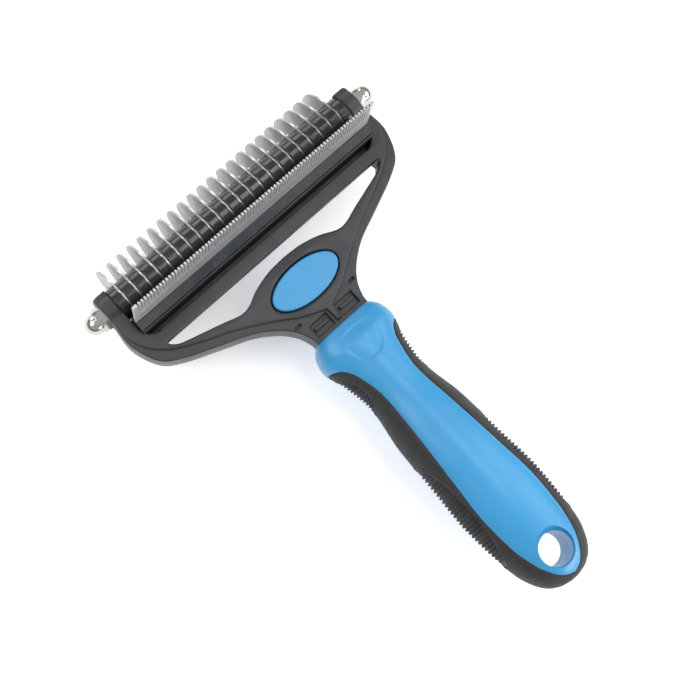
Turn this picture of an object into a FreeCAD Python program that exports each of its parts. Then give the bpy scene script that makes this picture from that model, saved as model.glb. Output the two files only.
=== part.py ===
import FreeCAD, Part
import math
import os
from FreeCAD import Vector

# Dematting comb: a T-shaped head with a row of hooked blades on one side and a
# fine-toothed comb on the other, on a two-colour moulded handle.
#
# Shapes are drawn in millimetres with the blade rod's centre at the origin: X runs
# along the head, +Y points away from the handle and +Z is the side of the fine comb.
# Each one is then moved so that the origin is the centre of the hang hole.

# Place of the blade rod, measured from the centre of the hang hole
HANG_TO_ROD = 133.0
ROD_RISE = 1.5

# Blade row on the rod
BLADE_COUNT = 22
BLADE_PITCH = 3.89
BLADE_THICKNESS = 0.6
HUB_RADIUS = 4.4
ROD_RADIUS = 2.0
ROD_FLAT = 1.5
ROD_HALF_LENGTH = 52.0
FIT_GAP = 0.05
SPACER_RADIUS = 5.3
SPACER_EDGE = 0.3

# Outer edge of a blade from the top of its hub to the point, as Y and Z
BLADE_OUTER_EDGE = [
    (2.6, 3.55),
    (5.8, 2.85),
    (9.3, 0.4),
    (11.4, -2.4),
    (12.7, -6.4),
    (13.1, -10.2),
    (12.4, -12.9),
    (10.7, -15.4),
    (7.9, -17.4),
    (4.4, -18.8),
]
# Inner edge of a blade from the point back to the hub
BLADE_TIP_ROUND = (3.5, -18.5)
BLADE_TIP_INNER = (3.7, -17.6)
BLADE_INNER_MIDDLE = (8.0, -11.2)
BLADE_INNER_ROOT_Y = 3.1

# Cap nuts
NUT_ACROSS_FLATS = 7.0
NUT_HEX_LENGTH = 2.6
NUT_DOME_LENGTH = 3.9
NUT_DOME_RADIUS = 3.1
NUT_CORNER_BEVEL = 0.5

# Fine comb and the bar that holds it
COMB_HALF_LENGTH = 43.8
COMB_THICKNESS = 0.8
COMB_FRONT_Y = -8.8
COMB_BOTTOM = 3.5
COMB_TOP = 26.2
COMB_ROOT = 17.6
COMB_TOOTH_COUNT = 79
COMB_TOOTH_PITCH = 1.08
COMB_SLOT_WIDTH = 0.5
BAR_HALF_LENGTH = 43.9
BAR_FRONT_Y = -6.4
BAR_BACK_Y = -11.3
BAR_SHOULDER = 6.5
BAR_TOP = 9.0

# Head frame
EAR_INNER_X = 44.0
EAR_OUTER_X = 48.3
EAR_FRONT_Y = 5.0
FRAME_BOTTOM = -5.0
FRAME_TOP = 4.4
TROUGH_FLOOR = -1.5
TROUGH_BACK_Y = -13.9
BAY_BACK_Y = -6.0
WINDOW_FRONT_Y = -17.9
NECK_HALF_WIDTH = 9.7
COLLAR_Y = -46.5
BOSS_RADIUS = 5.6
TANG_HALF_WIDTH = 6.0
TANG_HALF_HEIGHT = 3.4
TANG_END_Y = -76.0

# Pockets with a rib in the neck's front face
POCKET_X = 4.6
POCKET_Y = -42.7
POCKET_LENGTH = 5.6
POCKET_WIDTH = 4.2
POCKET_DEPTH = 1.2
RIB_SETBACK = 1.0
RIB_WIDTH = 1.2

# Oval badges
BADGE_Y = -30.6
BADGE_HALF_LENGTH = 11.6
BADGE_HALF_WIDTH = 5.6
BADGE_DEPTH = 1.4
BADGE_PROUD = 0.5
BADGE_GAP = 0.15

# Handle
HANDLE_Z = -1.5
HANG_HOLE_RADIUS = 5.0
BLUE_WRAP_Y = -54.0

# Handle stations: distance along Y, half width, half height
HANDLE_STATIONS = [
    (-46.5, 9.9, 7.2),
    (-49.5, 12.4, 8.6),
    (-53.5, 13.2, 9.6),
    (-60.0, 11.5, 9.6),
    (-70.0, 10.2, 9.5),
    (-84.0, 12.2, 10.6),
    (-98.0, 13.0, 11.3),
    (-112.0, 13.9, 11.2),
    (-124.0, 13.3, 10.3),
    (-132.0, 12.2, 9.6),
    (-137.0, 10.4, 8.5),
    (-140.5, 8.0, 6.8),
    (-142.5, 5.0, 4.6),
    (-143.2, 2.6, 2.6),
]

# Half width of the hard core between the soft side grips, along Y
CORE_STATIONS = [
    (-54.5, 13.6),
    (-57.0, 10.0),
    (-61.0, 8.0),
    (-70.0, 6.5),
    (-84.0, 7.5),
    (-100.0, 9.0),
    (-114.0, 10.1),
    (-124.0, 9.6),
    (-132.0, 8.0),
    (-137.5, 5.4),
    (-140.6, 2.4),
]
CORE_END_Y = -141.4
CORE_CUT_HALF_WIDTH = 20.0
CORE_CUT_HALF_HEIGHT = 20.0
SOCKET_GAP = 0.1


def block(x0, x1, y0, y1, z0, z1):
    """A box between two corners."""
    return Part.makeBox(x1 - x0, y1 - y0, z1 - z0, Vector(x0, y0, z0))


def spline(points):
    """A smooth edge through a few points."""
    curve = Part.BSplineCurve()
    curve.interpolate(points)
    return curve.toShape()


def mirrored(points):
    """The same points on the other side of the YZ plane, in reverse order."""
    return [Vector(-p.x, p.y, p.z) for p in reversed(points)]


def prism(edges, height):
    """A solid from a closed outline in a plane parallel to XY, raised by height."""
    face = Part.Face(Part.Wire(edges))
    return face.extrude(Vector(0, 0, height))


def oval(half_length, half_width, y, z):
    """An ellipse parallel to XY."""
    ellipse = Part.Ellipse(Vector(0, y, z), half_length, half_width)
    return ellipse.toShape()


def blade_x(index):
    """Middle of one blade along the rod."""
    return (index - (BLADE_COUNT - 1) / 2) * BLADE_PITCH


def rod_section(radius, flat, x, length):
    """A round bar along X with one flat, which keys the blades on the rod."""
    bar = Part.makeCylinder(radius, length, Vector(x, 0, 0), Vector(1, 0, 0))
    cut = block(x - 1, x + length + 1, flat, radius + 1, -radius - 1, radius + 1)
    return bar.cut(cut)


def rod():
    """The steel rod through both ears, flatted between them and round at its ends."""
    middle = rod_section(ROD_RADIUS, ROD_FLAT, -EAR_INNER_X, 2 * EAR_INNER_X)
    shapes = []
    for side in (-1, 1):
        start = EAR_INNER_X * side
        length = ROD_HALF_LENGTH - EAR_INNER_X
        shapes.append(Part.makeCylinder(ROD_RADIUS, length, Vector(start, 0, 0), Vector(side, 0, 0)))
    return middle.multiFuse(shapes).removeSplitter()


def keyed_hole(x, length):
    """The hole that passes the flatted rod."""
    return rod_section(ROD_RADIUS + FIT_GAP, ROD_FLAT + FIT_GAP, x - 1, length + 2)


def blade(x):
    """A hooked blade: a hub on the rod, and a hook that bulges forward and points down."""
    def at(point):
        return Vector(x - BLADE_THICKNESS / 2, point[0], point[1])
    root_z = -math.sqrt(HUB_RADIUS ** 2 - BLADE_INNER_ROOT_Y ** 2)
    outer = [at(point) for point in BLADE_OUTER_EDGE]
    inner = at(BLADE_TIP_INNER)
    root = at((BLADE_INNER_ROOT_Y, root_z))
    edges = [
        spline(outer),
        Part.Arc(outer[-1], at(BLADE_TIP_ROUND), inner).toShape(),
        Part.Arc(inner, at(BLADE_INNER_MIDDLE), root).toShape(),
        Part.Arc(root, at((-HUB_RADIUS, 0)), outer[0]).toShape(),
    ]
    plate = Part.Face(Part.Wire(edges)).extrude(Vector(BLADE_THICKNESS, 0, 0))
    return plate.cut(keyed_hole(x - BLADE_THICKNESS / 2, BLADE_THICKNESS))


def spacer(x0, x1):
    """A ring between two blades, with softened rims."""
    ring = Part.makeCylinder(SPACER_RADIUS, x1 - x0, Vector(x0, 0, 0), Vector(1, 0, 0))
    rims = [e for e in ring.Edges if e.Curve.TypeId == "Part::GeomCircle"]
    ring = ring.makeFillet(SPACER_EDGE, rims)
    return ring.cut(keyed_hole(x0, x1 - x0))


def cap_nut(side):
    """A hexagonal nut with a domed end, on one end of the rod."""
    radius = NUT_ACROSS_FLATS / math.sqrt(3)
    corners = []
    for step in range(7):
        angle = math.radians(60 * step)
        corners.append(Vector(0, radius * math.cos(angle), radius * math.sin(angle)))
    hexagon = Part.Face(Part.makePolygon(corners)).extrude(Vector(NUT_HEX_LENGTH, 0, 0))
    bevel = Part.makeCone(radius + 0.1, radius - NUT_CORNER_BEVEL, NUT_HEX_LENGTH,
                          Vector(0, 0, 0), Vector(1, 0, 0))
    hexagon = hexagon.common(bevel)
    straight = NUT_DOME_LENGTH - NUT_DOME_RADIUS
    neck = Part.makeCylinder(NUT_DOME_RADIUS, straight, Vector(NUT_HEX_LENGTH, 0, 0), Vector(1, 0, 0))
    dome = Part.makeSphere(NUT_DOME_RADIUS, Vector(NUT_HEX_LENGTH + straight, 0, 0))
    reach = 2 * NUT_DOME_RADIUS
    dome = dome.common(block(NUT_HEX_LENGTH + straight, 2 * reach, -reach, reach, -reach, reach))
    nut = hexagon.multiFuse([neck, dome]).removeSplitter()
    depth = ROD_HALF_LENGTH - EAR_OUTER_X + FIT_GAP
    nut = nut.cut(Part.makeCylinder(ROD_RADIUS + FIT_GAP, depth, Vector(0, 0, 0), Vector(1, 0, 0)))
    if side < 0:
        nut = nut.mirror(Vector(0, 0, 0), Vector(1, 0, 0))
    nut.translate(Vector(side * EAR_OUTER_X, 0, 0))
    return nut


def fine_comb():
    """The flat steel comb: an upright plate with narrow slots cut from its top edge."""
    back = COMB_FRONT_Y + COMB_THICKNESS
    plate = block(-COMB_HALF_LENGTH, COMB_HALF_LENGTH, COMB_FRONT_Y, back, COMB_BOTTOM, COMB_TOP)
    slots = []
    for index in range(COMB_TOOTH_COUNT):
        x = (index - (COMB_TOOTH_COUNT - 1) / 2) * COMB_TOOTH_PITCH
        half = COMB_SLOT_WIDTH / 2
        slots.append(block(x - half, x + half, COMB_FRONT_Y - 1, back + 1, COMB_ROOT, COMB_TOP + 1))
    return plate.cut(Part.Compound(slots))


def comb_bar():
    """The bar that grips the comb's foot, with a sloped front above the trough."""
    profile = [
        (BAR_FRONT_Y, TROUGH_FLOOR),
        (BAR_BACK_Y, TROUGH_FLOOR),
        (BAR_BACK_Y, BAR_SHOULDER),
        (-9.2, BAR_TOP),
        (-7.3, BAR_TOP),
        (BAR_FRONT_Y, BAR_SHOULDER),
    ]
    corners = [Vector(-BAR_HALF_LENGTH, y, z) for y, z in profile]
    bar = Part.Face(Part.makePolygon(corners + corners[:1])).extrude(Vector(2 * BAR_HALF_LENGTH, 0, 0))
    back = COMB_FRONT_Y + COMB_THICKNESS
    slot = block(-COMB_HALF_LENGTH, COMB_HALF_LENGTH, COMB_FRONT_Y, back, COMB_BOTTOM, COMB_TOP)
    return bar.cut(slot)


def frame_outline():
    """The outside of the T head, from the left ear round the neck to the right ear."""
    side = [
        Vector(EAR_OUTER_X, -4, 0),
        Vector(48.9, -12, 0),
        Vector(45.8, -20, 0),
        Vector(40.4, -24, 0),
        Vector(31.0, -28, 0),
        Vector(21.3, -32, 0),
        Vector(15.3, -36, 0),
        Vector(11.7, -40, 0),
        Vector(NECK_HALF_WIDTH, COLLAR_Y, 0),
    ]
    corner = Vector(EAR_OUTER_X, EAR_FRONT_Y, 0)
    left = mirrored(side)
    return [
        spline(side),
        Part.makeLine(side[-1], left[0]),
        spline(left),
        Part.makeLine(left[-1], mirrored([corner])[0]),
        Part.makeLine(mirrored([corner])[0], corner),
        Part.makeLine(corner, side[0]),
    ]


def window_outline():
    """The crescent opening between the straight bar and the swept arms."""
    lower = [
        Vector(41.0, WINDOW_FRONT_Y, 0),
        Vector(37.5, -20.5, 0),
        Vector(26.5, -23.8, 0),
        Vector(19.5, -26.0, 0),
        Vector(12.5, -23.2, 0),
        Vector(0.0, -21.3, 0),
        Vector(-12.5, -23.2, 0),
        Vector(-19.5, -26.0, 0),
        Vector(-26.5, -23.8, 0),
        Vector(-37.5, -20.5, 0),
        Vector(-41.0, WINDOW_FRONT_Y, 0),
    ]
    return [spline(lower), Part.makeLine(lower[-1], lower[0])]


def head_frame():
    """The moulded T frame: ears, trough, straight bar, swept arms, neck and tang."""
    height = FRAME_TOP - FRAME_BOTTOM
    body = prism(frame_outline(), height)
    body.translate(Vector(0, 0, FRAME_BOTTOM))
    window = prism(window_outline(), height + 4)
    window.translate(Vector(0, 0, FRAME_BOTTOM - 2))
    bay = block(-EAR_INNER_X, EAR_INNER_X, BAY_BACK_Y, EAR_FRONT_Y + 5, FRAME_BOTTOM - 1, FRAME_TOP + 1)
    trough = block(-EAR_INNER_X, EAR_INNER_X, TROUGH_BACK_Y, BAY_BACK_Y + 1, TROUGH_FLOOR, FRAME_TOP + 1)
    body = body.cut(window).cut(bay).cut(trough)
    for side in (-1, 1):
        start = Vector(side * EAR_INNER_X, 0, 0)
        length = EAR_OUTER_X - EAR_INNER_X
        boss = Part.makeCylinder(BOSS_RADIUS, length, start, Vector(side, 0, 0))
        body = body.fuse(boss)
    for z in (FRAME_TOP - BADGE_DEPTH, FRAME_BOTTOM - 1):
        recess = prism([oval(BADGE_HALF_LENGTH + BADGE_GAP, BADGE_HALF_WIDTH + BADGE_GAP, BADGE_Y, z)],
                       BADGE_DEPTH + 1)
        body = body.cut(recess)
    tang = block(-TANG_HALF_WIDTH, TANG_HALF_WIDTH, TANG_END_Y, COLLAR_Y + 1,
                 HANDLE_Z - TANG_HALF_HEIGHT, HANDLE_Z + TANG_HALF_HEIGHT)
    body = body.fuse(tang)
    for side in (-1, 1):
        start = side * POCKET_X - POCKET_LENGTH / 2
        low = POCKET_Y - POCKET_WIDTH / 2
        floor = FRAME_TOP - POCKET_DEPTH
        pocket = block(start, start + POCKET_LENGTH, low, low + POCKET_WIDTH, floor, FRAME_TOP + 1)
        rib = block(start + RIB_SETBACK, start + POCKET_LENGTH - RIB_SETBACK,
                    POCKET_Y - RIB_WIDTH / 2, POCKET_Y + RIB_WIDTH / 2, floor - 0.3, FRAME_TOP - 0.1)
        body = body.cut(pocket).fuse(rib)
    hole_length = 2 * EAR_OUTER_X + 4
    hole_start = Vector(-hole_length / 2, 0, 0)
    hole = Part.makeCylinder(ROD_RADIUS + FIT_GAP, hole_length, hole_start, Vector(1, 0, 0))
    return body.cut(hole).removeSplitter()


def badge(front):
    """A shallow domed oval that fills the recess in the frame."""
    base = prism([oval(BADGE_HALF_LENGTH, BADGE_HALF_WIDTH, BADGE_Y, 0)], BADGE_DEPTH + BADGE_PROUD)
    rim = [e for e in base.Edges if e.BoundBox.ZMin > BADGE_DEPTH]
    base = base.makeFillet(BADGE_PROUD * 0.9, rim)
    if front:
        base.translate(Vector(0, 0, FRAME_TOP - BADGE_DEPTH))
        return base
    base = base.mirror(Vector(0, 0, 0), Vector(0, 0, 1))
    base.translate(Vector(0, 0, FRAME_BOTTOM + BADGE_DEPTH))
    return base


def handle_body():
    """The whole handle without the division into core and grip."""
    wires = []
    for y, half_width, half_height in HANDLE_STATIONS:
        section = Part.Ellipse(Vector(0, 0, 0), half_width, half_height).toShape()
        section.rotate(Vector(0, 0, 0), Vector(1, 0, 0), 90)
        section.translate(Vector(0, y, HANDLE_Z))
        wires.append(Part.Wire([section]))
    return Part.makeLoft(wires, True, False)


def core_region():
    """Everything between the two soft grips, as a tall prism."""
    side = [Vector(half, y, 0) for y, half in CORE_STATIONS]
    end = Vector(0, CORE_END_Y, 0)
    edges = [spline(side + [end] + mirrored(side))]
    top_left = Vector(-CORE_CUT_HALF_WIDTH, COLLAR_Y + 5, 0)
    top_right = Vector(CORE_CUT_HALF_WIDTH, COLLAR_Y + 5, 0)
    wrap_left = Vector(-CORE_CUT_HALF_WIDTH, BLUE_WRAP_Y, 0)
    wrap_right = Vector(CORE_CUT_HALF_WIDTH, BLUE_WRAP_Y, 0)
    first = side[0]
    last = mirrored(side)[-1]
    corners = [last, wrap_left, top_left, top_right, wrap_right, first]
    for start, stop in zip(corners, corners[1:]):
        edges.append(Part.makeLine(start, stop))
    region = prism(edges, 2 * CORE_CUT_HALF_HEIGHT)
    region.translate(Vector(0, 0, -CORE_CUT_HALF_HEIGHT))
    return region


def handle_parts():
    """The hard core and the soft grip moulded round its sides and end."""
    whole = handle_body()
    region = core_region()
    core = whole.common(region)
    grip = whole.cut(region)
    axis = Vector(0, 0, 1)
    centre = Vector(0, -HANG_TO_ROD, -CORE_CUT_HALF_HEIGHT)
    core = core.cut(Part.makeCylinder(HANG_HOLE_RADIUS, 2 * CORE_CUT_HALF_HEIGHT, centre, axis))
    half_width = TANG_HALF_WIDTH + SOCKET_GAP
    half_height = TANG_HALF_HEIGHT + SOCKET_GAP
    socket = block(-half_width, half_width, TANG_END_Y - SOCKET_GAP, COLLAR_Y + 1,
                   HANDLE_Z - half_height, HANDLE_Z + half_height)
    core = core.cut(socket)
    return core, grip


def save(name, shape):
    """Move one shape to the hang-hole frame and write it."""
    placed = shape.copy()
    placed.translate(Vector(0, HANG_TO_ROD, ROD_RISE))
    placed.exportStep("parts/" + name + ".step")
    box = placed.BoundBox
    print(name, placed.ShapeType, len(placed.Solids), placed.isValid(), round(placed.Volume, 1),
          [round(v, 2) for v in (box.XMin, box.YMin, box.ZMin, box.XMax, box.YMax, box.ZMax)])


os.makedirs("parts", exist_ok=True)
save("head_frame", head_frame())
save("blade_rod", rod())
save("cap_nut_left", cap_nut(-1))
save("cap_nut_right", cap_nut(1))
save("fine_comb", fine_comb())
save("comb_bar", comb_bar())
save("badge_front", badge(True))
save("badge_back", badge(False))
for index in range(BLADE_COUNT):
    save("blade_%02d" % (index + 1), blade(blade_x(index)))
half_blade = BLADE_THICKNESS / 2
for index in range(BLADE_COUNT - 1):
    save("spacer_%02d" % (index + 1), spacer(blade_x(index) + half_blade, blade_x(index + 1) - half_blade))
save("end_spacer_left", spacer(-EAR_INNER_X, blade_x(0) - half_blade))
save("end_spacer_right", spacer(blade_x(BLADE_COUNT - 1) + half_blade, EAR_INNER_X))
handle_core, handle_grip = handle_parts()
save("handle_core", handle_core)
save("handle_grip", handle_grip)
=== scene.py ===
import math

import bmesh
import bpy
from mathutils import Matrix, Vector


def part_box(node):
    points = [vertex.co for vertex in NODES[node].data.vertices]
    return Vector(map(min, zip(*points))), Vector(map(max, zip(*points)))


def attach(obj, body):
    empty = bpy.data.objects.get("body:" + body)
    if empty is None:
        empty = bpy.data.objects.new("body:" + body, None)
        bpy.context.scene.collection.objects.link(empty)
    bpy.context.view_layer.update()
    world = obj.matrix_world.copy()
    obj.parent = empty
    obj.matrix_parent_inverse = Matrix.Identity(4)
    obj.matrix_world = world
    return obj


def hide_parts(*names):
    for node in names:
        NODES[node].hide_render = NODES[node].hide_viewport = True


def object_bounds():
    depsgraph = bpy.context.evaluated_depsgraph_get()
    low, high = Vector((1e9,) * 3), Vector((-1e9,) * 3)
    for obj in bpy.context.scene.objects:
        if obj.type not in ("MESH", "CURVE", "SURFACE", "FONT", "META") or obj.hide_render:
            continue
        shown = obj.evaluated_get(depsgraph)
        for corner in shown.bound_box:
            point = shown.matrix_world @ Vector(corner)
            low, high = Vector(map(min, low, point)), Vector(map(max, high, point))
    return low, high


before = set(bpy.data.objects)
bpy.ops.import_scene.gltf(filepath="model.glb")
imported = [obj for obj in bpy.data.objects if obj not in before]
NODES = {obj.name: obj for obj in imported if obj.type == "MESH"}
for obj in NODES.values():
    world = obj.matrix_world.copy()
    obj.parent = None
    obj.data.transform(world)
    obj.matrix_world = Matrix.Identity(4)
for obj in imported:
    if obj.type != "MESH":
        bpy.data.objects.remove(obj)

CAD_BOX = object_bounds()

MM = 0.001
BODY = "root"


def middle(node):
    """Centre of a CAD node, in millimetres."""
    low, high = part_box(node)
    return (low + high) / (2 * MM)


# Centre of the blade rod: every shape is drawn from it, in millimetres
ROD = middle("blade_rod")
# The hang hole is the origin of the row frame, so this is its place seen from the rod
HOLE_Y = -ROD.y
HANDLE_Z = -ROD.z


# ---------------------------------------------------------------- mesh helpers

# Points closer than this are one point, in millimetres
WELD_DISTANCE = 0.002
LAYER_WELD_DISTANCE = 0.0005
# Steps across a rounded edge
EDGE_STEPS = 3


def at(x, y, z):
    """A point given from the rod's centre in millimetres, in the row frame in metres."""
    return (Vector((x, y, z)) + ROD) * MM


def mesh_from(name, points, faces):
    """A mesh from points in millimetres."""
    mesh = bpy.data.meshes.new(name)
    mesh.from_pydata([at(*p) for p in points], [], faces)
    return mesh


def finish_piece(name, mesh, material, smooth_angle):
    """Cleans a mesh, links it as a piece and lets it ride on the body."""
    work = bmesh.new()
    work.from_mesh(mesh)
    bmesh.ops.remove_doubles(work, verts=work.verts, dist=WELD_DISTANCE * MM)
    bmesh.ops.recalc_face_normals(work, faces=work.faces)
    work.to_mesh(mesh)
    work.free()
    piece = bpy.data.objects.new(name, mesh)
    bpy.context.scene.collection.objects.link(piece)
    mesh.materials.clear()
    mesh.materials.append(material)
    shade(piece, smooth_angle)
    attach(piece, BODY)
    return piece


def shade(piece, angle):
    """Smooth shading with sharp edges above an angle in degrees."""
    mesh = piece.data
    mesh.polygons.foreach_set("use_smooth", [True] * len(mesh.polygons))
    mesh.set_sharp_from_angle(angle=math.radians(angle))


def evaluated_mesh(source):
    """The mesh that an object's modifiers or curve settings make."""
    depsgraph = bpy.context.evaluated_depsgraph_get()
    return bpy.data.meshes.new_from_object(source.evaluated_get(depsgraph))


def cut_away(piece, cutter):
    """Subtracts one object from a piece and removes the cutter."""
    step = piece.modifiers.new("cut", "BOOLEAN")
    step.operation = "DIFFERENCE"
    step.solver = "EXACT"
    step.object = cutter
    made = evaluated_mesh(piece)
    piece.modifiers.clear()
    old = piece.data
    piece.data = made
    bpy.data.meshes.remove(old)
    bpy.data.objects.remove(cutter)


def loose_object(name, data):
    """An object that is only used up by another step."""
    made = bpy.data.objects.new(name, data)
    bpy.context.scene.collection.objects.link(made)
    return made


def ring_mesh(rings):
    """Points and faces of a closed tube through rings that all have the same number of points."""
    points = [p for ring in rings for p in ring]
    count = len(rings[0])
    faces = []
    for i in range(len(rings) - 1):
        for j in range(count):
            k = (j + 1) % count
            faces.append((i * count + j, i * count + k, (i + 1) * count + k, (i + 1) * count + j))
    faces.append(tuple(range(count))[::-1])
    faces.append(tuple((len(rings) - 1) * count + j for j in range(count)))
    return points, faces


def smooth_path(points, steps=8):
    """A Catmull-Rom curve through 2-D points."""
    padded = [points[0]] + list(points) + [points[-1]]
    made = []
    for i in range(1, len(padded) - 2):
        a, b, c, d = (Vector(p) for p in padded[i - 1:i + 3])
        for s in range(steps):
            t = s / steps
            made.append(0.5 * (2 * b + (c - a) * t + (2 * a - 5 * b + 4 * c - d) * t * t
                               + (3 * b - a - 3 * c + d) * t ** 3))
    made.append(Vector(points[-1]))
    return [(p.x, p.y) for p in made]


def arc(cx, cy, radius, start, stop, steps=8):
    """Points on an arc, with the angles in degrees."""
    made = []
    for i in range(steps + 1):
        a = math.radians(start + (stop - start) * i / steps)
        made.append((cx + radius * math.cos(a), cy + radius * math.sin(a)))
    return made


def mirrored(points):
    """The same 2-D points with X turned round, in reverse order."""
    return [(-x, y) for x, y in reversed(points)]


def turn(count):
    """Evenly spaced angles round a full turn, in radians."""
    return [2 * math.pi * i / count for i in range(count)]


def ellipse(a, b, cx, cy, steps=72):
    """Points of an oval."""
    return [(cx + a * math.cos(t), cy + b * math.sin(t)) for t in turn(steps)]


def box_outline(x0, x1, y0, y1):
    """Corners of a rectangle."""
    return [(x0, y0), (x1, y0), (x1, y1), (x0, y1)]


def side_box(side, near, far, y0, y1):
    """A rectangle on one side of the YZ plane, between two distances from it."""
    x0, x1 = sorted((side * near, side * far))
    return box_outline(x0, x1, y0, y1)


def plate_mesh(outlines, low, high, edge):
    """A flat plate between two heights with rims rounded by edge. The first outline is its outside."""
    curve = bpy.data.curves.new("plate", "CURVE")
    curve.dimensions = "2D"
    curve.fill_mode = "BOTH"
    curve.extrude = ((high - low) / 2 - edge) * MM
    curve.bevel_depth = edge * MM
    curve.bevel_resolution = EDGE_STEPS
    curve.offset = -edge * MM
    for outline in outlines:
        spline = curve.splines.new("POLY")
        spline.points.add(len(outline) - 1)
        for point, (x, y) in zip(spline.points, outline):
            point.co = (x * MM, (y + ROD.y) * MM, 0, 1)
        spline.use_cyclic_u = True
    holder = loose_object("plate", curve)
    mesh = evaluated_mesh(holder)
    bpy.data.objects.remove(holder)
    lift = Vector((0, 0, ((high + low) / 2 + ROD.z) * MM))
    for vertex in mesh.vertices:
        vertex.co += lift
    return mesh


def join_meshes(meshes):
    """One mesh from several closed shells."""
    work = bmesh.new()
    for mesh in meshes:
        work.from_mesh(mesh)
    bmesh.ops.remove_doubles(work, verts=work.verts, dist=LAYER_WELD_DISTANCE * MM)
    joined = bpy.data.meshes.new("joined")
    work.to_mesh(joined)
    work.free()
    return joined


# ------------------------------------------------------------------- materials

# Noise mostly stays between these two values
NOISE_LOW = 0.3
NOISE_HIGH = 0.7


class Surface:
    """A Principled material that is put together step by step."""

    def __init__(self, name, colour, roughness, metallic=0.0):
        self.material = bpy.data.materials.new(name)
        self.material.use_nodes = True
        self.tree = self.material.node_tree
        self.shader = self.tree.nodes["Principled BSDF"]
        self.colour = colour
        self.shader.inputs["Base Color"].default_value = (*colour, 1)
        self.shader.inputs["Roughness"].default_value = roughness
        self.shader.inputs["Metallic"].default_value = metallic
        self.place = self.tree.nodes.new("ShaderNodeTexCoord").outputs["Object"]

    def set(self, **values):
        """Sets sockets of the shader, with underscores for spaces in their names."""
        for key, value in values.items():
            self.shader.inputs[key.replace("_", " ")].default_value = value
        return self

    def noise(self, scale, stretch=(1, 1, 1), detail=4.0):
        """Noise with features of about 1/scale metres."""
        mapping = self.tree.nodes.new("ShaderNodeMapping")
        mapping.inputs["Scale"].default_value = stretch
        self.tree.links.new(self.place, mapping.inputs["Vector"])
        texture = self.tree.nodes.new("ShaderNodeTexNoise")
        texture.inputs["Scale"].default_value = scale
        texture.inputs["Detail"].default_value = detail
        self.tree.links.new(mapping.outputs["Vector"], texture.inputs["Vector"])
        return texture.outputs["Fac"]

    def ramp(self, source, low, high):
        """Maps a noise to numbers between two values."""
        node = self.tree.nodes.new("ShaderNodeMapRange")
        node.inputs["From Min"].default_value = NOISE_LOW
        node.inputs["From Max"].default_value = NOISE_HIGH
        node.inputs["To Min"].default_value = low
        node.inputs["To Max"].default_value = high
        self.tree.links.new(source, node.inputs["Value"])
        return node.outputs["Result"]

    def vary_colour(self, scale, amount, stretch=(1, 1, 1)):
        """Slightly lighter and darker patches."""
        mix = self.tree.nodes.new("ShaderNodeMix")
        mix.data_type = "RGBA"
        mix.inputs["A"].default_value = (*(c * (1 - amount) for c in self.colour), 1)
        mix.inputs["B"].default_value = (*(min(1, c * (1 + amount)) for c in self.colour), 1)
        self.tree.links.new(self.ramp(self.noise(scale, stretch), 0, 1), mix.inputs["Factor"])
        self.tree.links.new(mix.outputs["Result"], self.shader.inputs["Base Color"])
        return self

    def vary_roughness(self, scale, low, high, stretch=(1, 1, 1)):
        """Glossier and duller patches."""
        source = self.ramp(self.noise(scale, stretch), low, high)
        self.tree.links.new(source, self.shader.inputs["Roughness"])
        return self

    def bump(self, scale, strength, distance):
        """A fine grain of a given height in millimetres."""
        node = self.tree.nodes.new("ShaderNodeBump")
        node.inputs["Strength"].default_value = strength
        node.inputs["Distance"].default_value = distance * MM
        self.tree.links.new(self.noise(scale, detail=3.0), node.inputs["Height"])
        self.tree.links.new(node.outputs["Normal"], self.shader.inputs["Normal"])
        return self


def frame_plastic():
    """Black moulded plastic with a fine satin texture."""
    made = Surface("frame_plastic", (0.022, 0.022, 0.025), 0.42)
    made.vary_colour(60, 0.12).vary_roughness(220, 0.38, 0.48)
    return made.bump(2600, 0.12, 0.03).material


def gloss_plastic(name, colour, roughness):
    """Smooth black plastic."""
    made = Surface(name, colour, roughness)
    made.vary_colour(80, 0.15).vary_roughness(150, roughness * 0.8, roughness * 1.3)
    return made.bump(500, 0.05, 0.03).material


def blue_plastic():
    """Semi-gloss sky blue with faint moulding flow."""
    made = Surface("blue_plastic", (0.026, 0.25, 0.50), 0.40)
    made.set(Coat_Weight=0.15, Coat_Roughness=0.25)
    made.vary_colour(45, 0.05).vary_roughness(300, 0.33, 0.42)
    return made.bump(1500, 0.06, 0.02).material


def grip_rubber():
    """Matt soft black with a warm cast and a fine grain."""
    made = Surface("grip_rubber", (0.013, 0.0125, 0.012), 0.58)
    made.vary_colour(90, 0.2).vary_roughness(400, 0.55, 0.7)
    return made.bump(3200, 0.25, 0.04).material


def brushed_steel(name, colour, roughness, stretch, grain=900, metallic=1.0):
    """Steel whose gloss varies along grinding lines."""
    made = Surface(name, colour, roughness, metallic)
    made.vary_roughness(grain, roughness * 0.8, roughness * 1.2, stretch)
    return made.vary_colour(grain / 4, 0.06, stretch).material


FRAME_PLASTIC = frame_plastic()
BAR_PLASTIC = gloss_plastic("bar_plastic", (0.028, 0.028, 0.032), 0.24)
SPACER_PLASTIC = gloss_plastic("spacer_plastic", (0.013, 0.014, 0.017), 0.2)
BLUE = blue_plastic()
RUBBER = grip_rubber()
BLADE_STEEL = brushed_steel("blade_steel", (0.40, 0.40, 0.39), 0.34, (1, 0.12, 1))
COMB_STEEL = brushed_steel("comb_steel", (0.46, 0.46, 0.46), 0.42, (0.04, 1, 1), metallic=0.55)
NUT_STEEL = brushed_steel("nut_steel", (0.50, 0.49, 0.44), 0.14, (1, 1, 1), 400)
ROD_STEEL = brushed_steel("rod_steel", (0.5, 0.5, 0.5), 0.3, (0.05, 1, 1))


# ---------------------------------------------------------------- handle shape

COLLAR_Y = -46.5
GRIP_START_Y = -54.6
NECK_END_Y = -62.0
TAIL_Y = -128.0
CORE_END_Y = -141.4
HANDLE_END_Y = -143.2

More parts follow.
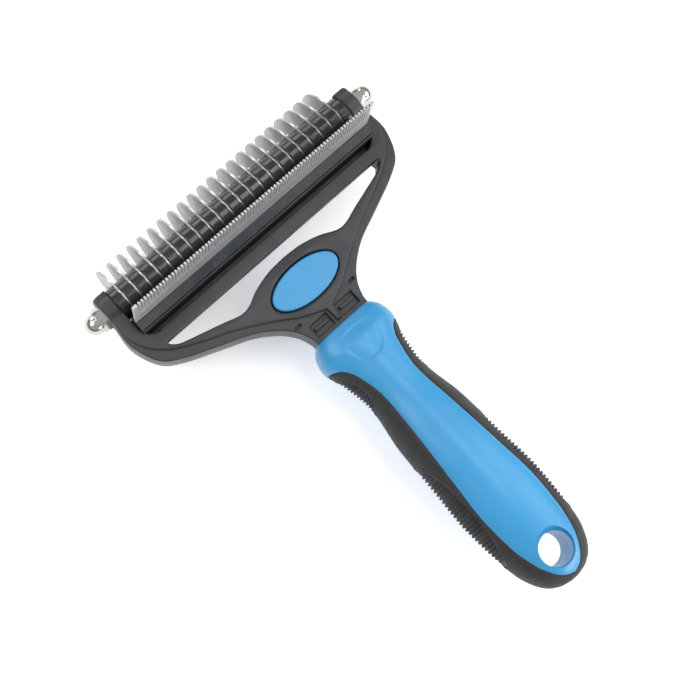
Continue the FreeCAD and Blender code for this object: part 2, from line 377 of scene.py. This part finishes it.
# Distance along Y from the rod, half width and half height
STATIONS = [
    (COLLAR_Y, 10.1, 7.3),
    (-49.5, 12.3, 8.5),
    (-53.5, 13.2, 9.6),
    (-60.0, 11.5, 9.6),
    (-70.0, 10.2, 9.5),
    (-84.0, 12.2, 10.6),
    (-98.0, 13.0, 11.3),
    (-112.0, 13.9, 11.2),
    (-124.0, 13.3, 10.3),
    (-132.0, 12.2, 9.6),
    (-137.0, 10.4, 8.5),
    (-140.5, 8.0, 6.8),
    (-142.5, 5.0, 4.6),
    (HANDLE_END_Y, 2.6, 2.6),
]
# Distance along Y and half width of the blue core
CORE_STATIONS = [
    (-54.5, 13.6),
    (-57.0, 10.0),
    (-61.0, 8.0),
    (-70.0, 6.5),
    (-84.0, 7.5),
    (-100.0, 9.0),
    (-114.0, 10.1),
    (-124.0, 9.6),
    (-132.0, 8.0),
    (-137.5, 5.4),
    (-140.6, 2.4),
    (CORE_END_Y, 0.0),
]
# More than the handle's half width: above the grip the core fills the whole section
FULL_WIDTH = 20.0


def station_value(rows, y, column):
    """Smooth value between stations, without overshoot (monotone cubic)."""
    if y >= rows[0][0]:
        return rows[0][column]
    if y <= rows[-1][0]:
        return rows[-1][column]
    i = next(k for k in range(len(rows) - 1) if rows[k][0] >= y >= rows[k + 1][0])

    def chord(k):
        return (rows[k + 1][column] - rows[k][column]) / (rows[k + 1][0] - rows[k][0])

    def slope(k):
        if k == 0:
            return chord(0)
        if k == len(rows) - 1:
            return chord(k - 1)
        before = chord(k - 1)
        after = chord(k)
        if before * after <= 0:
            return 0.0
        return 2 * before * after / (before + after)

    width = rows[i + 1][0] - rows[i][0]
    t = (y - rows[i][0]) / width
    a, b = rows[i][column], rows[i + 1][column]
    return ((2 * t ** 3 - 3 * t ** 2 + 1) * a + (t ** 3 - 2 * t ** 2 + t) * width * slope(i)
            + (-2 * t ** 3 + 3 * t ** 2) * b + (t ** 3 - t ** 2) * width * slope(i + 1))


def half_width(y):
    """Half the handle's width."""
    return station_value(STATIONS, y, 1)


def half_height(y):
    """Half the handle's height."""
    return station_value(STATIONS, y, 2)


def core_half_width(y):
    """Half the width of the blue core between the grips."""
    if y > CORE_STATIONS[0][0]:
        return FULL_WIDTH
    if y < CORE_END_Y:
        return 0.0
    return station_value(CORE_STATIONS, y, 1)


# The handle's section goes from a rounded rectangle at the collar to an ellipse
SQUARE_EXPONENT = 4.2
SQUARE_END_Y = -59.0


def exponent(y):
    """Exponent of the section's superellipse."""
    t = min(max((y - SQUARE_END_Y) / (COLLAR_Y - SQUARE_END_Y), 0.0), 1.0)
    return 2.0 + (SQUARE_EXPONENT - 2.0) * t * t


def signed_power(value, power):
    """A power that keeps the sign."""
    return math.copysign(abs(value) ** power, value)


def side_angle(y, x):
    """Angle at which the skin has a given half width."""
    share = min(max(x / half_width(y), 0.0), 1.0)
    return math.acos(share ** (exponent(y) / 2))


def surface(y, angle, inset=0.0):
    """A point of the handle's skin. Angle 0 is its right side and 90 degrees its front."""
    w = half_width(y) - inset
    h = half_height(y) - inset
    power = 2 / exponent(y)
    x = w * signed_power(math.cos(angle), power)
    return (x, y, HANDLE_Z + h * signed_power(math.sin(angle), power))


# The seam between core and grip
SEAM_WIDTH = 0.7
SEAM_DEPTH = 0.35
# Along the handle the seam is drawn a little wider, and at the collar it is shallower
END_SEAM_SHARE = 0.8


def seam_inset(distance):
    """How far the skin rolls in close to the seam between core and grip."""
    if distance >= SEAM_WIDTH:
        return 0.0
    t = 1 - max(distance, 0) / SEAM_WIDTH
    return SEAM_DEPTH * t * t


def steps_between(start, stop, count):
    """Evenly spaced steps."""
    return [start + (stop - start) * i / count for i in range(count + 1)]


def end_steps(start, stop, count):
    """Steps that crowd towards the stop."""
    return [start + (stop - start) * math.sin(math.pi / 2 * i / count) for i in range(count + 1)]


# The shield outline near the collar
SHIELD_Y = -54.5
SHIELD_LENGTH = 5.2
SHIELD_WIDTH = 5.4
SHIELD_DEPTH = 0.28
SHIELD_TAPER = 0.28
SHIELD_EXPONENT = 2.6
SHIELD_EDGE = 0.10


def shield_relief(x, y):
    """Sinks the skin inside a rounded triangle whose point faces the handle's end."""
    u = x / SHIELD_WIDTH
    v = (y - SHIELD_Y) / SHIELD_LENGTH
    across = abs(u * (1.0 - SHIELD_TAPER * v))
    radius = (across ** SHIELD_EXPONENT + abs(v) ** SHIELD_EXPONENT) ** (1 / SHIELD_EXPONENT)
    edge = (1.0 - radius) / SHIELD_EDGE
    return -SHIELD_DEPTH * min(max(edge + 0.5, 0.0), 1.0)


# Distance that rings stay away from the place where the core ends
JOIN_GAP = 0.02
CORE_SMOOTH_ANGLE = 35


def core_ring(y, count=56):
    """The front and back of the blue core at one station, joined by straight sides."""
    w = half_width(y)
    b = min(core_half_width(y), w)
    has_grip = b < w - JOIN_GAP / 2
    side = side_angle(y, b)
    front, back = [], []
    for i in range(count + 1):
        angle = side + (math.pi - 2 * side) * i / count
        x = surface(y, angle)[0]
        to_seam = b - abs(x) if has_grip else SEAM_WIDTH
        inset = seam_inset(to_seam)
        inset = max(inset, seam_inset((y - CORE_END_Y) * END_SEAM_SHARE))
        inset = max(inset, END_SEAM_SHARE * seam_inset(COLLAR_Y - y))
        px, py, pz = surface(y, angle, inset)
        front.append((px, py, pz + shield_relief(px, py)))
        back.append((px, py, 2 * HANDLE_Z - pz))
    return front + back[::-1]


def make_core():
    """The blue core with its collar, shield and hang hole."""
    stations = end_steps(GRIP_START_Y, COLLAR_Y, 26)[::-1]
    stations += steps_between(GRIP_START_Y, NECK_END_Y, 40)[1:]
    stations += steps_between(NECK_END_Y, TAIL_Y, 70)[1:]
    stations += end_steps(TAIL_Y, CORE_END_Y + JOIN_GAP, 46)[1:]
    points, faces = ring_mesh([core_ring(y) for y in stations])
    mesh = mesh_from("handle_core_skin", points, faces)
    core = finish_piece("handle_core_skin", mesh, BLUE, CORE_SMOOTH_ANGLE)
    cut_away(core, loose_object("hole_cutter", hole_cutter()))
    core.data.materials.clear()
    core.data.materials.append(BLUE)
    shade(core, CORE_SMOOTH_ANGLE)
    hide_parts("handle_core")


# The hang hole and its rounded lip
HOLE_RADIUS = 5.0
LIP_WIDTH = 1.25
LIP_DEPTH = 3.0
FLARE_LIMIT = 1.3
CUTTER_HALF_HEIGHT = 16.0
CUTTER_MARGIN = 0.4


def hole_cutter(count=72):
    """A spool that flares where the hang hole meets the skin."""
    top = half_height(HOLE_Y)
    reach = top + CUTTER_MARGIN
    heights = [-CUTTER_HALF_HEIGHT] + steps_between(-reach, reach, 44) + [CUTTER_HALF_HEIGHT]
    rings = []
    for z in heights:
        flare = max(0.0, (abs(z) - (top - LIP_DEPTH)) / LIP_DEPTH)
        radius = HOLE_RADIUS + LIP_WIDTH * min(flare, FLARE_LIMIT) ** 2
        rings.append([(x, y, HANDLE_Z + z) for x, y in ellipse(radius, radius, 0, HOLE_Y, count)])
    mesh = mesh_from("hole_cutter", *ring_mesh(rings))
    work = bmesh.new()
    work.from_mesh(mesh)
    bmesh.ops.recalc_face_normals(work, faces=work.faces)
    work.to_mesh(mesh)
    work.free()
    return mesh


# Ribbed pads of the grip: centre, half length, half height as an angle, and rib pitch
PADS = [
    (-64.6, 7.4, 0.58, 1.12),
    (-109.4, 19.2, 0.72, 1.27),
]
RIB_HEIGHT = 0.05
PAD_SINK = 0.50
# The lip round a pad and the width of the pad's edge, as an angle
PAD_LIP = 0.12
PAD_LIP_PLACE = 0.6
PAD_EDGE = 0.07
# A rib starts to rise at this level of its wave, over this much of it
RIB_START = 0.3
RIB_FLANK = 0.45
RIB_FADE = 5


def pad_relief(y, angle):
    """Height above the grip's skin of a lens-shaped pad with its ribs and lip."""
    for centre, half_length, spread, pitch in PADS:
        along = (y - centre) / half_length
        if abs(along) >= 1:
            continue
        reach = spread * math.sqrt(1 - along * along)
        edge = (reach - abs(angle)) / PAD_EDGE
        if edge <= 0:
            return PAD_LIP * max(0.0, 1 - abs(edge + PAD_LIP_PLACE) / PAD_LIP_PLACE)
        wave = 0.5 + 0.5 * math.cos(2 * math.pi * (y - centre) / pitch)
        rib = min(1.0, max(0.0, (wave - RIB_START) / RIB_FLANK))
        rim = min(1.0, edge)
        fade = min(1.0, (1 - abs(along)) * RIB_FADE)
        return (rib * (RIB_HEIGHT + PAD_SINK) * fade - PAD_SINK) * rim
    return 0.0


# The seam fades out where the grip wraps less than this angle
SEAM_FADE_ANGLE = 0.3
GRIP_SMOOTH_ANGLE = 50
GRIP_GAP = 0.25
CENTRE_WIDTH = 0.005
# Ends of the stretches with close rings, which the ribs need
FIRST_PAD = (-57.2, -72.0)
SECOND_PAD = (-90.0, -128.8)


def grip_ring(y, count=64, wall=4):
    """The right-hand half of the grip at one station, closed by a straight inner wall."""
    b = min(core_half_width(y), half_width(y))
    limit = side_angle(y, b)
    ring = []
    for i in range(count + 1):
        angle = -limit + 2 * limit * i / count
        x = surface(y, angle)[0]
        distance = abs(x) - b if b > 0 else (CORE_END_Y - y) * END_SEAM_SHARE
        inset = seam_inset(distance) * min(1.0, limit / SEAM_FADE_ANGLE)
        ring.append(surface(y, angle, inset - pad_relief(y, angle)))
    top = ring[-1][2]
    bottom = ring[0][2]
    inner = ring[-1][0]
    for i in range(1, wall):
        ring.append((inner if b > 0 else 0.0, y, top + (bottom - top) * i / wall))
    if b <= 0:
        ring[0] = (0.0, y, bottom)
        ring[count] = (0.0, y, top)
    return ring


def make_grip():
    """The soft black grip round both sides and the end of the handle."""
    stations = steps_between(GRIP_START_Y - GRIP_GAP, FIRST_PAD[0], 12)
    stations += steps_between(*FIRST_PAD, 130)[1:]
    stations += steps_between(FIRST_PAD[1], SECOND_PAD[0], 30)[1:]
    stations += steps_between(*SECOND_PAD, 300)[1:]
    stations += end_steps(SECOND_PAD[1], CORE_END_Y + JOIN_GAP, 30)[1:]
    stations += end_steps(CORE_END_Y - JOIN_GAP, HANDLE_END_Y, 10)
    points, faces = ring_mesh([grip_ring(y) for y in stations])
    mirror_points = [(-x, y, z) for x, y, z in points]
    shift = len(points)
    mirror_faces = [tuple(v + shift for v in face[::-1]) for face in faces]
    mesh = mesh_from("handle_grip_skin", points + mirror_points, faces + mirror_faces)
    drop_centre_faces(mesh)
    grip = finish_piece("handle_grip_skin", mesh, RUBBER, GRIP_SMOOTH_ANGLE)
    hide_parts("handle_grip")


def drop_centre_faces(mesh):
    """Opens the two halves where they meet, so that they join into one skin."""
    work = bmesh.new()
    work.from_mesh(mesh)
    centre = [f for f in work.faces if all(abs(v.co.x) < CENTRE_WIDTH * MM for v in f.verts)]
    bmesh.ops.delete(work, geom=centre, context="FACES")
    work.to_mesh(mesh)
    work.free()


# ------------------------------------------------------------------ head frame

EAR_INNER = 44.0
EAR_OUTER = 48.3
EAR_FRONT = 5.0
EAR_CORNER = 1.4
FRAME_LOW = -5.0
FRAME_HIGH = 4.4
TROUGH_BACK = -13.9
TROUGH_CORNER = 4.6
TROUGH_FLOOR = -1.5
BAY_BACK = -6.0
BOSS_RADIUS = 5.6
BOSS_EDGE = 0.5
BOSS_STEPS = 48

# The oval hole that the badges sit in
BADGE_Y = -30.6
BADGE_HOLE = (12.0, 6.0)

# The window's front edge in the bar's face, and under it where the bar is thinner
WINDOW_FRONT = -17.7
LOW_WINDOW_FRONT = -16.6
WINDOW_HALF_LENGTH = 40.3

# The neck: a bar between two pockets that hold a rib each, and a nick on each side
T_BAR_HALF_WIDTH = 0.8
T_BAR_END_Y = -45.0
POCKET_X = (1.7, 8.0)
POCKET_Y = (-44.9, -41.0)
RIB_X = (2.3, 7.4)
RIB_Y = (-43.3, -42.3)
NICK_X = (9.4, 11.2)
NICK_Y = (-39.2, -38.4)
NECK_GAP = 0.3

# The wall below the trough, the bead beside the comb's bar and the ridge behind the trough
WALL_HALF_LENGTH = 44.6
WALL_OVERLAP = 1.5
BEAD_HALF_LENGTH = 43.8
BEAD_Y = (-11.95, -11.4)
RIDGE_HALF_LENGTH = 39.6
RIDGE_Y = (TROUGH_BACK - 0.75, TROUGH_BACK - 0.05)

# Lower and upper face of each layer of the frame
NECK_FACE = 3.3
BACK_LAYER = (FRAME_LOW, -2.2)
BODY_LAYER = (-3.8, 1.9)
NECK_LAYER = (0.9, NECK_FACE)
FRONT_LAYER = (1.6, FRAME_HIGH)
WALL_LAYER = (-4.9, TROUGH_FLOOR)
RIDGE_LAYER = (1.0, FRAME_HIGH + 0.35)
BEAD_LAYER = (-2.4, 6.3)
RIB_LAYER = (1.0, NECK_FACE - 0.1)

# Rounding of the layers' rims
FACE_EDGE = 0.5
BODY_EDGE = 0.4
WALL_EDGE = 0.3
RIDGE_EDGE = 0.25
RIB_EDGE = 0.2
FRAME_SMOOTH_ANGLE = 40


def outer_side():
    """The right-hand outside edge, from the ear to the neck."""
    return smooth_path([
        (EAR_OUTER, -4.0),
        (48.9, -12.0),
        (45.8, -20.0),
        (40.4, -24.0),
        (31.0, -28.0),
        (21.3, -32.0),
        (15.3, -36.0),
        (11.7, -40.0),
        (9.9, -44.0),
        (9.6, COLLAR_Y - NECK_GAP),
    ])


def plateau_side():
    """Right-hand edge of the raised face, which ends short of the arm's edge and the neck."""
    edge = smooth_path([
        (EAR_OUTER, -3.0),
        (48.0, -10.0),
        (46.2, -14.8),
        (43.0, -18.5),
        (39.0, -21.2),
        (34.0, -23.7),
        (31.0, -25.1),
        (25.5, -27.4),
        (20.0, -30.2),
        (13.2, -34.1),
        (8.6, -37.2),
        (5.3, -38.8),
        (2.4, -40.0),
        (0.9, -40.6),
    ])
    return edge + [(T_BAR_HALF_WIDTH, T_BAR_END_Y)]


def head_outline(side):
    """The T shape round the open bay for blades and comb, with a given right-hand edge."""
    corner = arc(EAR_INNER - TROUGH_CORNER, TROUGH_BACK + TROUGH_CORNER, TROUGH_CORNER, -90, 0, 10)
    ear = arc(EAR_OUTER - EAR_CORNER, EAR_FRONT - EAR_CORNER, EAR_CORNER, 90, 0, 6)
    right = corner + [(EAR_INNER, EAR_FRONT)] + ear + side
    return right + mirrored(right)


def window_outline(front):
    """The crescent opening behind the straight bar, whose front edge is at a given Y."""
    lower = smooth_path([
        (40.6, -18.3),
        (38.4, -20.2),
        (33.0, -21.9),
        (25.6, -24.0),
        (20.4, -25.6),
        (17.0, -25.4),
        (12.0, -23.2),
        (6.0, -21.7),
        (0.0, -21.3),
    ], 6)
    half = [(WINDOW_HALF_LENGTH, front)] + lower
    return half + mirrored(half)[1:]


def ear_boss(side):
    """The rounded block that carries the rod's end."""
    profile = [
        (EAR_INNER, BOSS_RADIUS - BOSS_EDGE),
        (EAR_INNER + BOSS_EDGE, BOSS_RADIUS),
        (EAR_OUTER - BOSS_EDGE, BOSS_RADIUS),
        (EAR_OUTER, BOSS_RADIUS - BOSS_EDGE),
    ]
    rings = [[(side * x, y, z) for y, z in ellipse(r, r, 0, 0, BOSS_STEPS)] for x, r in profile]
    return mesh_from("ear_boss", *ring_mesh(rings))


def make_frame():
    """The moulded head frame, built up in layers so that rims and recesses are real."""
    outline = head_outline(outer_side())
    plateau = head_outline(plateau_side())
    window = window_outline(WINDOW_FRONT)
    low_window = window_outline(LOW_WINDOW_FRONT)
    badge_hole = ellipse(*BADGE_HOLE, 0, BADGE_Y)
    recesses = [side_box(side, *POCKET_X, *POCKET_Y) for side in (-1, 1)]
    recesses += [side_box(side, *NICK_X, *NICK_Y) for side in (-1, 1)]
    wall = box_outline(-WALL_HALF_LENGTH, WALL_HALF_LENGTH, TROUGH_BACK - WALL_OVERLAP, BAY_BACK)
    bead = box_outline(-BEAD_HALF_LENGTH, BEAD_HALF_LENGTH, *BEAD_Y)
    ridge = box_outline(-RIDGE_HALF_LENGTH, RIDGE_HALF_LENGTH, *RIDGE_Y)
    layers = [
        plate_mesh([outline, low_window, badge_hole], *BACK_LAYER, FACE_EDGE),
        plate_mesh([outline, low_window], *BODY_LAYER, BODY_EDGE),
        plate_mesh([outline, window, badge_hole] + recesses, *NECK_LAYER, FACE_EDGE),
        plate_mesh([plateau, window, badge_hole], *FRONT_LAYER, FACE_EDGE),
        plate_mesh([wall], *WALL_LAYER, WALL_EDGE),
        plate_mesh([ridge], *RIDGE_LAYER, RIDGE_EDGE),
        plate_mesh([bead], *BEAD_LAYER, RIB_EDGE),
        ear_boss(-1),
        ear_boss(1),
    ]
    for side in (-1, 1):
        layers.append(plate_mesh([side_box(side, *RIB_X, *RIB_Y)], *RIB_LAYER, RIB_EDGE))
    mesh = join_meshes(layers)
    skin = finish_piece("head_frame_skin", mesh, FRAME_PLASTIC, FRAME_SMOOTH_ANGLE)
    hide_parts("head_frame")


# -------------------------------------------------------------- carried-over CAD

CAD_SMOOTH_ANGLE = 30
BEVEL_ANGLE = 35
BAR_BEVEL = 0.5


def dress(node, material, bevel=0.0):
    """A CAD node keeps its shape, and gets a finer material and softened edges."""
    piece = NODES[node]
    piece.data.materials.clear()
    piece.data.materials.append(material)
    shade(piece, CAD_SMOOTH_ANGLE)
    if bevel:
        step = piece.modifiers.new("soft_edges", "BEVEL")
        step.width = bevel * MM
        step.segments = EDGE_STEPS
        step.limit_method = "ANGLE"
        step.angle_limit = math.radians(BEVEL_ANGLE)


def dress_all():
    """Materials for every CAD node, with those that a skin replaces last."""
    for name in NODES:
        if name.startswith("blade_") and name != "blade_rod":
            dress(name, BLADE_STEEL)
        elif "spacer" in name:
            dress(name, SPACER_PLASTIC)
        elif name.startswith("cap_nut"):
            dress(name, NUT_STEEL)
        elif name.startswith("badge"):
            dress(name, BLUE)
    dress("blade_rod", ROD_STEEL)
    dress("fine_comb", COMB_STEEL)
    dress("comb_bar", BAR_PLASTIC, BAR_BEVEL)
    dress("head_frame", FRAME_PLASTIC)
    dress("handle_core", BLUE)
    dress("handle_grip", RUBBER)


# ------------------------------------------------------------------------ scene

# Camera: place, the point it looks at, its upward direction, lens and sensor in millimetres
CAMERA_PLACE = Vector((-0.0814, 0.0573, 0.3795))
CAMERA_AIM = Vector((-0.0031, 0.0840, 0.0))
CAMERA_UP = Vector((0.6566, 0.7307, 0.1869))
CAMERA_LENS = 71.92
SENSOR_WIDTH = 36.0
CLIP_START = 0.01
CLIP_END = 20

# Brightness of the studio's surroundings, from the horizon up
HORIZON_LOW = 0.0
HORIZON_HIGH = 0.55
HORIZON_STRENGTH = 0.16
SKY_STRENGTH = 0.62
SKY_COLOUR = (0.96, 0.98, 1.0, 1)

FLOOR_HALF_SIZE = 12.0
FLOOR_GREY = 0.93
FLOOR_ROUGHNESS = 0.9
FLOOR_GLOW = 0.30

# Soft boxes: place, the point they face, width and height in metres, and watts
LAMPS = {
    "key": ((-0.35, 0.45, 0.75), (0, 0.07, 0), (0.7, 0.5), 3.4),
    "top": ((0.2, 0.05, 0.95), (0, 0.1, 0), (0.4, 0.18), 1.3),
    "fill": ((0.6, -0.2, 0.6), (0, 0.07, 0), (0.6, 0.6), 2.6),
    "rim": ((0.1, 0.85, 0.3), (0, 0.1, 0), (0.5, 0.3), 1.6),
    "edge": ((0.25, -0.55, 0.28), (0, 0.1, 0), (0.7, 0.14), 3.0),
}


def make_camera():
    """The camera that everything is shown from."""
    camera = bpy.data.objects.new("camera", bpy.data.cameras.new("camera"))
    bpy.context.scene.collection.objects.link(camera)
    camera.data.lens = CAMERA_LENS
    camera.data.sensor_width = SENSOR_WIDTH
    camera.data.clip_start = CLIP_START
    camera.data.clip_end = CLIP_END
    back = (CAMERA_PLACE - CAMERA_AIM).normalized()
    right = CAMERA_UP.cross(back).normalized()
    up = back.cross(right)
    camera.matrix_world = Matrix((right, up, back)).transposed().to_4x4()
    camera.location = CAMERA_PLACE
    bpy.context.scene.camera = camera


def soft_box(name, place, aim, size, watts):
    """A rectangular lamp that faces a point."""
    light = bpy.data.lights.new(name, "AREA")
    light.shape = "RECTANGLE"
    light.size, light.size_y = size
    light.energy = watts
    lamp = bpy.data.objects.new(name, light)
    bpy.context.scene.collection.objects.link(lamp)
    lamp.location = place
    lamp.rotation_euler = (Vector(aim) - Vector(place)).to_track_quat("-Z", "Y").to_euler()


def sky_gradient(tree):
    """A studio that is bright overhead and darker towards the horizon."""
    place = tree.nodes.new("ShaderNodeTexCoord").outputs["Generated"]
    split = tree.nodes.new("ShaderNodeSeparateXYZ")
    tree.links.new(place, split.inputs["Vector"])
    level = tree.nodes.new("ShaderNodeMapRange")
    level.inputs["From Min"].default_value = HORIZON_LOW
    level.inputs["From Max"].default_value = HORIZON_HIGH
    level.inputs["To Min"].default_value = HORIZON_STRENGTH
    level.inputs["To Max"].default_value = SKY_STRENGTH
    tree.links.new(split.outputs["Z"], level.inputs["Value"])
    background = tree.nodes["Background"]
    background.inputs["Color"].default_value = SKY_COLOUR
    tree.links.new(level.outputs["Result"], background.inputs["Strength"])


def make_floor():
    """A plain pale floor that glows a little, so that shadows stay light."""
    floor_z = CAD_BOX[0].z
    corners = box_outline(-FLOOR_HALF_SIZE, FLOOR_HALF_SIZE, -FLOOR_HALF_SIZE, FLOOR_HALF_SIZE)
    mesh = bpy.data.meshes.new("floor")
    mesh.from_pydata([(x, y, floor_z) for x, y in corners], [], [(0, 1, 2, 3)])
    floor = bpy.data.objects.new("floor", mesh)
    bpy.context.scene.collection.objects.link(floor)
    pale = Surface("floor", (FLOOR_GREY, FLOOR_GREY, FLOOR_GREY), FLOOR_ROUGHNESS)
    pale.set(Emission_Color=(1, 1, 1, 1), Emission_Strength=FLOOR_GLOW)
    mesh.materials.append(pale.material)


def make_studio():
    """Surroundings, lamps and plain colour management."""
    world = bpy.data.worlds.new("studio")
    bpy.context.scene.world = world
    world.use_nodes = True
    sky_gradient(world.node_tree)
    for name, settings in LAMPS.items():
        soft_box(name, *settings)
    scene = bpy.context.scene
    scene.view_settings.view_transform = "Standard"
    scene.view_settings.look = "None"


make_camera()
make_core()
make_grip()
make_frame()
dress_all()
make_floor()
make_studio()
